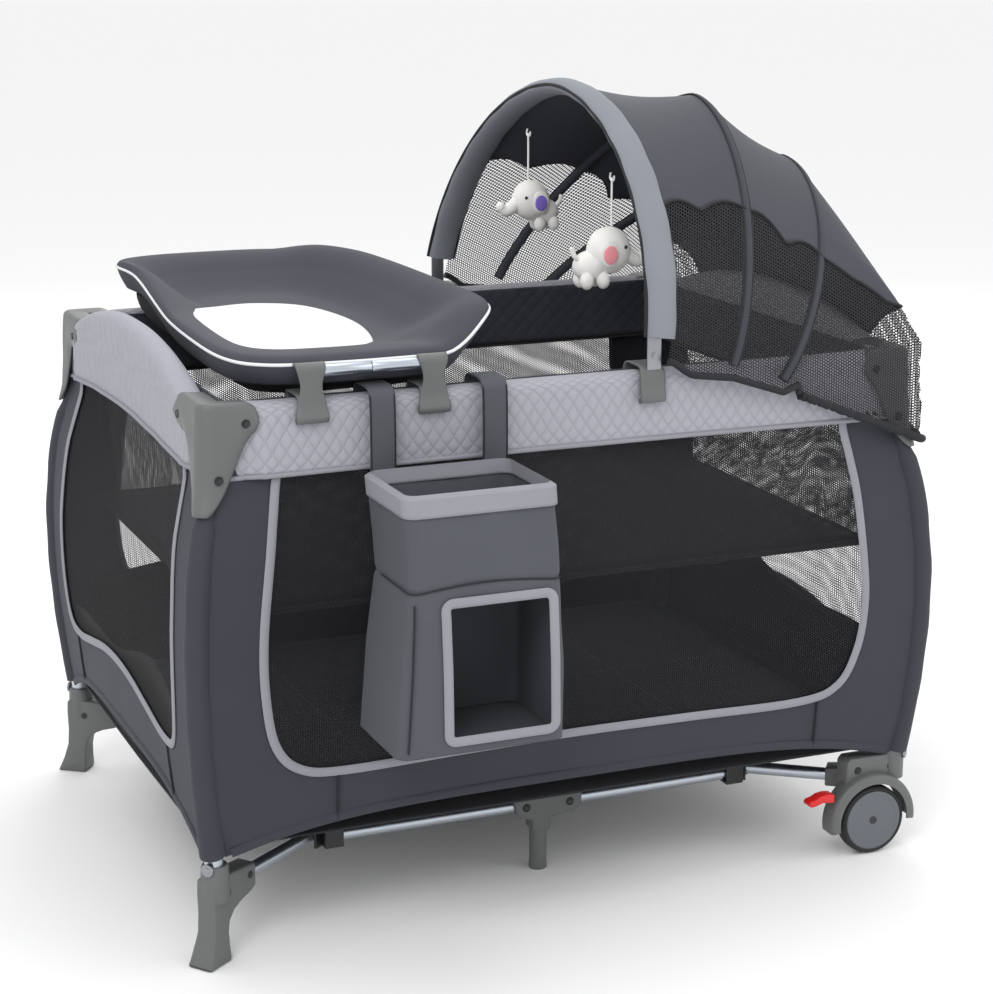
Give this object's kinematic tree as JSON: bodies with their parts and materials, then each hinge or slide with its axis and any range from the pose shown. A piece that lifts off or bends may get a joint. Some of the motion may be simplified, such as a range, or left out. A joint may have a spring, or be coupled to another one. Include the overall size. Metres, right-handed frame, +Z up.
{
  "type": "travel play yard",
  "caption": "Folding rectangular crib on feet and casters, with fabric and mesh walls, hung bassinet, changing tray, side caddy and a bow canopy with hanging toys.",
  "frame": {"origin": "on the floor under the centre hub's peg, in the middle of the yard", "axes": "+X along the long side towards the canopy and casters, +Y across towards the back, +Z up"},
  "size_m": [1.1096, 1.0248, 1.1091],
  "materials": {
    "silver_tube": "satin",
    "grey_plastic": "fine matte",
    "black_plastic": "matte",
    "red_plastic": "gloss",
    "tyre": "matte rubber",
    "slate_fabric": "woven polyester",
    "quilted_fabric": "quilted polyester",
    "padded_fabric": "padded, coated polyester",
    "canopy_fabric": "woven polyester",
    "black_piping": "woven binding over a rod",
    "white_cord": "twisted",
    "white_plush": "short pile",
    "mesh_fabric": "open hexagonal mesh",
    "light_binding": "woven tape",
    "light_quilt": "quilted polyester",
    "grey_disc": "satin"
  },
  "bodies": {
    "corner_front_left": {"cap_front_left": "grey_plastic", "post_and_foot_front_left": "grey_plastic", "enclosure_cover": "slate_fabric"},
    "corner_front_right": {"cap_front_right": "grey_plastic", "post_and_caster_front_right": "grey_plastic"},
    "corner_back_left": {"cap_back_left": "grey_plastic", "post_and_foot_back_left": "grey_plastic"},
    "corner_back_right": {"cap_back_right": "grey_plastic", "post_and_caster_back_right": "grey_plastic"},
    "arm_front_left": {"arm_front_left": "silver_tube"},
    "arm_front_right": {"arm_front_right": "silver_tube"},
    "arm_back_left": {"arm_back_left": "silver_tube"},
    "arm_back_right": {"arm_back_right": "silver_tube"},
    "hub": {"center_hub": "black_plastic"},
    "strut_bracket_front_left": {"strut_bracket_front_left": "black_plastic"},
    "strut_front_left": {"strut_front_left": "silver_tube"},
    "strut_bracket_front_right": {"strut_bracket_front_right": "black_plastic"},
    "strut_front_right": {"strut_front_right": "silver_tube"},
    "strut_bracket_back_left": {"strut_bracket_back_left": "black_plastic"},
    "strut_back_left": {"strut_back_left": "silver_tube"},
    "strut_bracket_back_right": {"strut_bracket_back_right": "black_plastic"},
    "strut_back_right": {"strut_back_right": "silver_tube"},
    "mid_leg_front": {"mid_leg_front": "grey_plastic"},
    "mid_leg_back": {"mid_leg_back": "grey_plastic"},
    "rail_front_left": {"rail_front_left": "silver_tube"},
    "rail_latch_front": {"rail_latch_front": "black_plastic"},
    "latch_button_front": {"latch_button_front": "red_plastic"},
    "rail_front_right": {"rail_front_right": "silver_tube"},
    "rail_back_left": {"rail_back_left": "silver_tube"},
    "rail_latch_back": {"rail_latch_back": "black_plastic"},
    "latch_button_back": {"latch_button_back": "red_plastic"},
    "rail_back_right": {"rail_back_right": "silver_tube"},
    "rail_left_front": {"rail_left_front": "silver_tube"},
    "rail_latch_left": {"rail_latch_left": "black_plastic"},
    "latch_button_left": {"latch_button_left": "red_plastic"},
    "rail_left_back": {"rail_left_back": "silver_tube"},
    "rail_right_front": {"rail_right_front": "silver_tube"},
    "rail_latch_right": {"rail_latch_right": "black_plastic"},
    "latch_button_right": {"latch_button_right": "red_plastic"},
    "rail_right_back": {"rail_right_back": "silver_tube"},
    "wheel_front_right": {"wheel_front_right": "tyre"},
    "brake_lever_front_right": {"brake_lever_front_right": "red_plastic"},
    "wheel_back_right": {"wheel_back_right": "tyre"},
    "brake_lever_back_right": {"brake_lever_back_right": "red_plastic"},
    "bassinet": {"bassinet": "quilted_fabric"},
    "mattress": {"mattress": "slate_fabric"},
    "changer": {"changer_frame": "grey_plastic", "changer_pad": "padded_fabric"},
    "caddy": {"caddy": "slate_fabric"},
    "canopy": {"canopy_clip_front": "grey_plastic", "canopy_cover": "canopy_fabric", "canopy_clip_back": "grey_plastic"},
    "front_bow": {"canopy_front_bow": "black_piping"},
    "middle_bow": {"canopy_middle_bow": "black_piping"},
    "rear_bow": {"canopy_rear_bow": "black_piping"},
    "toy_back": {"toy_cord_back": "white_cord", "toy_back": "white_plush"},
    "toy_front": {"toy_cord_front": "white_cord", "toy_front": "white_plush"}
  },
  "joints": [
    {"name": "fold", "type": "hinge", "parent": "corner_front_left", "child": "arm_front_left", "pos_m": [-0.46919, -0.34775, 0.1], "axis": [0.5955, -0.8034, 0], "range_deg": [0, 80], "deforming": ["enclosure_cover"]},
    {"name": "hub_pivot_front_left", "type": "hinge", "parent": "arm_front_left", "child": "hub", "pos_m": [-0.04419, -0.03275, 0.1], "axis": [0.5955, -0.8034, 0], "range_deg": [-80.5, 0]},
    {"name": "hub_pivot_front_right", "type": "hinge", "parent": "hub", "child": "arm_front_right", "pos_m": [0.04419, -0.03275, 0.1], "axis": [0.5955, 0.8034, 0], "range_deg": [0, 80.5]},
    {"name": "foot_pivot_front_right", "type": "hinge", "parent": "arm_front_right", "child": "corner_front_right", "pos_m": [0.46919, -0.34775, 0.1], "axis": [0.5955, 0.8034, 0], "range_deg": [-80.5, 0]},
    {"name": "hub_pivot_back_left", "type": "hinge", "parent": "hub", "child": "arm_back_left", "pos_m": [-0.04419, 0.03275, 0.1], "axis": [-0.5955, -0.8034, 0], "range_deg": [0, 80.5]},
    {"name": "foot_pivot_back_left", "type": "hinge", "parent": "arm_back_left", "child": "corner_back_left", "pos_m": [-0.46919, 0.34775, 0.1], "axis": [-0.5955, -0.8034, 0], "range_deg": [-80.5, 0]},
    {"name": "hub_pivot_back_right", "type": "hinge", "parent": "hub", "child": "arm_back_right", "pos_m": [0.04419, 0.03275, 0.1], "axis": [-0.5955, 0.8034, 0], "range_deg": [0, 80.5]},
    {"name": "foot_pivot_back_right", "type": "hinge", "parent": "arm_back_right", "child": "corner_back_right", "pos_m": [0.46919, 0.34775, 0.1], "axis": [-0.5955, 0.8034, 0], "range_deg": [-80.5, 0]},
    {"name": "bracket_pivot_front_left", "type": "hinge", "parent": "arm_front_left", "child": "strut_bracket_front_left", "pos_m": [-0.33319, -0.24695, 0.1], "axis": [0.5955, -0.8034, 0], "range_deg": [-80.5, 0]},
    {"name": "strut_pivot_front_left", "type": "hinge", "parent": "strut_bracket_front_left", "child": "strut_front_left", "pos_m": [-0.31319, -0.26495, 0.1], "axis": [0, -1, 0], "range_deg": [0, 80.5]},
    {"name": "bracket_pivot_front_right", "type": "hinge", "parent": "arm_front_right", "child": "strut_bracket_front_right", "pos_m": [0.33319, -0.24695, 0.1], "axis": [0.5955, 0.8034, 0], "range_deg": [-80.5, 0]},
    {"name": "strut_pivot_front_right", "type": "hinge", "parent": "strut_bracket_front_right", "child": "strut_front_right", "pos_m": [0.31319, -0.26495, 0.1], "axis": [0, 1, 0], "range_deg": [0, 80.5]},
    {"name": "bracket_pivot_back_left", "type": "hinge", "parent": "arm_back_left", "child": "strut_bracket_back_left", "pos_m": [-0.33319, 0.24695, 0.1], "axis": [-0.5955, -0.8034, 0], "range_deg": [-80.5, 0]},
    {"name": "strut_pivot_back_left", "type": "hinge", "parent": "strut_bracket_back_left", "child": "strut_back_left", "pos_m": [-0.31319, 0.26495, 0.1], "axis": [0, -1, 0], "range_deg": [0, 80.5]},
    {"name": "bracket_pivot_back_right", "type": "hinge", "parent": "arm_back_right", "child": "strut_bracket_back_right", "pos_m": [0.33319, 0.24695, 0.1], "axis": [-0.5955, 0.8034, 0], "range_deg": [-80.5, 0]},
    {"name": "strut_pivot_back_right", "type": "hinge", "parent": "strut_bracket_back_right", "child": "strut_back_right", "pos_m": [0.31319, 0.26495, 0.1], "axis": [0, 1, 0], "range_deg": [0, 80.5]},
    {"name": "mid_leg_pivot_front", "type": "hinge", "parent": "strut_front_left", "child": "mid_leg_front", "pos_m": [-0.02419, -0.26495, 0.1], "axis": [0, -1, 0], "range_deg": [-80.5, 0]},
    {"name": "mid_leg_pivot_back", "type": "hinge", "parent": "strut_back_left", "child": "mid_leg_back", "pos_m": [-0.02419, 0.26495, 0.1], "axis": [0, -1, 0], "range_deg": [-80.5, 0]},
    {"name": "rail_front_left_pivot", "type": "hinge", "parent": "corner_front_left", "child": "rail_front_left", "pos_m": [-0.465, -0.373, 0.735], "axis": [0, 1, 0], "range_deg": [0, 80.5]},
    {"name": "rail_latch_front_pivot", "type": "hinge", "parent": "rail_front_left", "child": "rail_latch_front", "pos_m": [-0.04, -0.373, 0.735], "axis": [0, 1, 0], "range_deg": [-80.5, 0]},
    {"name": "latch_button_front_press", "type": "slide", "parent": "rail_latch_front", "child": "latch_button_front", "axis": [0, 0, 1], "range_m": [0, 0.004], "stiffness_N_per_m": 150, "springref_m": -0.002},
    {"name": "rail_front_right_pivot", "type": "hinge", "parent": "corner_front_right", "child": "rail_front_right", "pos_m": [0.465, -0.373, 0.735], "axis": [0, -1, 0], "range_deg": [0, 80.5]},
    {"name": "rail_back_left_pivot", "type": "hinge", "parent": "corner_back_left", "child": "rail_back_left", "pos_m": [-0.465, 0.373, 0.735], "axis": [0, 1, 0], "range_deg": [0, 80.5]},
    {"name": "rail_latch_back_pivot", "type": "hinge", "parent": "rail_back_left", "child": "rail_latch_back", "pos_m": [-0.04, 0.373, 0.735], "axis": [0, 1, 0], "range_deg": [-80.5, 0]},
    {"name": "latch_button_back_press", "type": "slide", "parent": "rail_latch_back", "child": "latch_button_back", "axis": [0, 0, 1], "range_m": [0, 0.004], "stiffness_N_per_m": 150, "springref_m": -0.002},
    {"name": "rail_back_right_pivot", "type": "hinge", "parent": "corner_back_right", "child": "rail_back_right", "pos_m": [0.465, 0.373, 0.735], "axis": [0, -1, 0], "range_deg": [0, 80.5]},
    {"name": "rail_left_front_pivot", "type": "hinge", "parent": "corner_front_left", "child": "rail_left_front", "pos_m": [-0.503, -0.335, 0.735], "axis": [-1, 0, 0], "range_deg": [0, 80.5]},
    {"name": "rail_latch_left_pivot", "type": "hinge", "parent": "rail_left_front", "child": "rail_latch_left", "pos_m": [-0.503, -0.02, 0.735], "axis": [-1, 0, 0], "range_deg": [-80.5, 0]},
    {"name": "latch_button_left_press", "type": "slide", "parent": "rail_latch_left", "child": "latch_button_left", "axis": [0, 0, 1], "range_m": [0, 0.004], "stiffness_N_per_m": 150, "springref_m": -0.002},
    {"name": "rail_left_back_pivot", "type": "hinge", "parent": "corner_back_left", "child": "rail_left_back", "pos_m": [-0.503, 0.335, 0.735], "axis": [1, 0, 0], "range_deg": [0, 80.5]},
    {"name": "rail_right_front_pivot", "type": "hinge", "parent": "corner_front_right", "child": "rail_right_front", "pos_m": [0.503, -0.335, 0.735], "axis": [-1, 0, 0], "range_deg": [0, 80.5]},
    {"name": "rail_latch_right_pivot", "type": "hinge", "parent": "rail_right_front", "child": "rail_latch_right", "pos_m": [0.503, -0.02, 0.735], "axis": [-1, 0, 0], "range_deg": [-80.5, 0]},
    {"name": "latch_button_right_press", "type": "slide", "parent": "rail_latch_right", "child": "latch_button_right", "axis": [0, 0, 1], "range_m": [0, 0.004], "stiffness_N_per_m": 150, "springref_m": -0.002},
    {"name": "rail_right_back_pivot", "type": "hinge", "parent": "corner_back_right", "child": "rail_right_back", "pos_m": [0.503, 0.335, 0.735], "axis": [1, 0, 0], "range_deg": [0, 80.5]},
    {"name": "wheel_front_right_spin", "type": "hinge", "parent": "corner_front_right", "child": "wheel_front_right", "pos_m": [0.475, -0.4005, 0.052], "axis": [0, 1, 0], "continuous": true},
    {"name": "brake_lever_front_right_press", "type": "hinge", "parent": "corner_front_right", "child": "brake_lever_front_right", "pos_m": [0.404, -0.4, 0.095], "axis": [0, -1, 0], "range_deg": [0, 18]},
    {"name": "wheel_back_right_spin", "type": "hinge", "parent": "corner_back_right", "child": "wheel_back_right", "pos_m": [0.475, 0.4005, 0.052], "axis": [0, 1, 0], "continuous": true},
    {"name": "brake_lever_back_right_press", "type": "hinge", "parent": "corner_back_right", "child": "brake_lever_back_right", "pos_m": [0.404, 0.4, 0.095], "axis": [0, -1, 0], "range_deg": [0, 18]},
    {"name": "bassinet_lift_out", "type": "slide", "parent": "hub", "child": "bassinet", "axis": [0, 0, 1], "range_m": [0, 2.394]},
    {"name": "mattress_lift_out", "type": "slide", "parent": "hub", "child": "mattress", "axis": [0, 0, 1], "range_m": [0, 2.394]},
    {"name": "changer_lift_off", "type": "slide", "parent": "bassinet", "child": "changer", "axis": [0, 0, 1], "range_m": [0, 0.3]},
    {"name": "caddy_unhook", "type": "slide", "parent": "bassinet", "child": "caddy", "axis": [0, -0.9285, 0.3714], "range_m": [0, 0.25]},
    {"name": "canopy_lift_off", "type": "slide", "parent": "bassinet", "child": "canopy", "axis": [0, 0, 1], "range_m": [0, 0.4]},
    {"name": "canopy_fold", "type": "hinge", "parent": "canopy", "child": "front_bow", "pos_m": [0.111, 0, 0.764], "axis": [0, 1, 0], "range_deg": [0, 40], "deforming": ["canopy_cover"]},
    {"name": "middle_bow_fold", "type": "hinge", "parent": "canopy", "child": "middle_bow", "pos_m": [0.222, 0, 0.752], "axis": [0, 1, 0], "range_deg": [0, 25]},
    {"name": "rear_bow_fold", "type": "hinge", "parent": "canopy", "child": "rear_bow", "pos_m": [0.3, 0, 0.726], "axis": [0, 1, 0], "range_deg": [0, 7]},
    {"name": "toy_back_swing", "type": "hinge", "parent": "front_bow", "child": "toy_back", "pos_m": [0.136, 0.09, 1.024], "axis": [0, 1, 0], "range_deg": [-20, 20]},
    {"name": "toy_front_swing", "type": "hinge", "parent": "front_bow", "child": "toy_front", "pos_m": [0.136, -0.203, 0.988], "axis": [0, 1, 0], "range_deg": [-20, 20]}
  ],
  "couplings": [
    {"joint": "hub_pivot_front_left", "follows": "fold", "ratio": -1},
    {"joint": "hub_pivot_front_right", "follows": "fold", "ratio": 1},
    {"joint": "foot_pivot_front_right", "follows": "fold", "ratio": -1},
    {"joint": "hub_pivot_back_left", "follows": "fold", "ratio": 1},
    {"joint": "foot_pivot_back_left", "follows": "fold", "ratio": -1},
    {"joint": "hub_pivot_back_right", "follows": "fold", "ratio": 1},
    {"joint": "foot_pivot_back_right", "follows": "fold", "ratio": -1},
    {"joint": "bracket_pivot_front_left", "follows": "fold", "ratio": -1},
    {"joint": "strut_pivot_front_left", "follows": "fold", "ratio": 1},
    {"joint": "bracket_pivot_front_right", "follows": "fold", "ratio": -1},
    {"joint": "strut_pivot_front_right", "follows": "fold", "ratio": 1},
    {"joint": "bracket_pivot_back_left", "follows": "fold", "ratio": -1},
    {"joint": "strut_pivot_back_left", "follows": "fold", "ratio": 1},
    {"joint": "bracket_pivot_back_right", "follows": "fold", "ratio": -1},
    {"joint": "strut_pivot_back_right", "follows": "fold", "ratio": 1},
    {"joint": "mid_leg_pivot_front", "follows": "fold", "ratio": -1},
    {"joint": "mid_leg_pivot_back", "follows": "fold", "ratio": -1},
    {"joint": "rail_front_left_pivot", "follows": "fold", "ratio": 1},
    {"joint": "rail_latch_front_pivot", "follows": "fold", "ratio": -1},
    {"joint": "rail_front_right_pivot", "follows": "fold", "ratio": 1},
    {"joint": "rail_back_left_pivot", "follows": "fold", "ratio": 1},
    {"joint": "rail_latch_back_pivot", "follows": "fold", "ratio": -1},
    {"joint": "rail_back_right_pivot", "follows": "fold", "ratio": 1},
    {"joint": "rail_left_front_pivot", "follows": "fold", "ratio": 1},
    {"joint": "rail_latch_left_pivot", "follows": "fold", "ratio": -1},
    {"joint": "rail_left_back_pivot", "follows": "fold", "ratio": 1},
    {"joint": "rail_right_front_pivot", "follows": "fold", "ratio": 1},
    {"joint": "rail_latch_right_pivot", "follows": "fold", "ratio": -1},
    {"joint": "rail_right_back_pivot", "follows": "fold", "ratio": 1},
    {"joint": "bassinet_lift_out", "follows": "fold", "m_per_rad": 1.7},
    {"joint": "mattress_lift_out", "follows": "fold", "m_per_rad": 1.7},
    {"joint": "middle_bow_fold", "follows": "canopy_fold", "ratio": 0.6},
    {"joint": "rear_bow_fold", "follows": "canopy_fold", "ratio": 0.15}
  ]
}
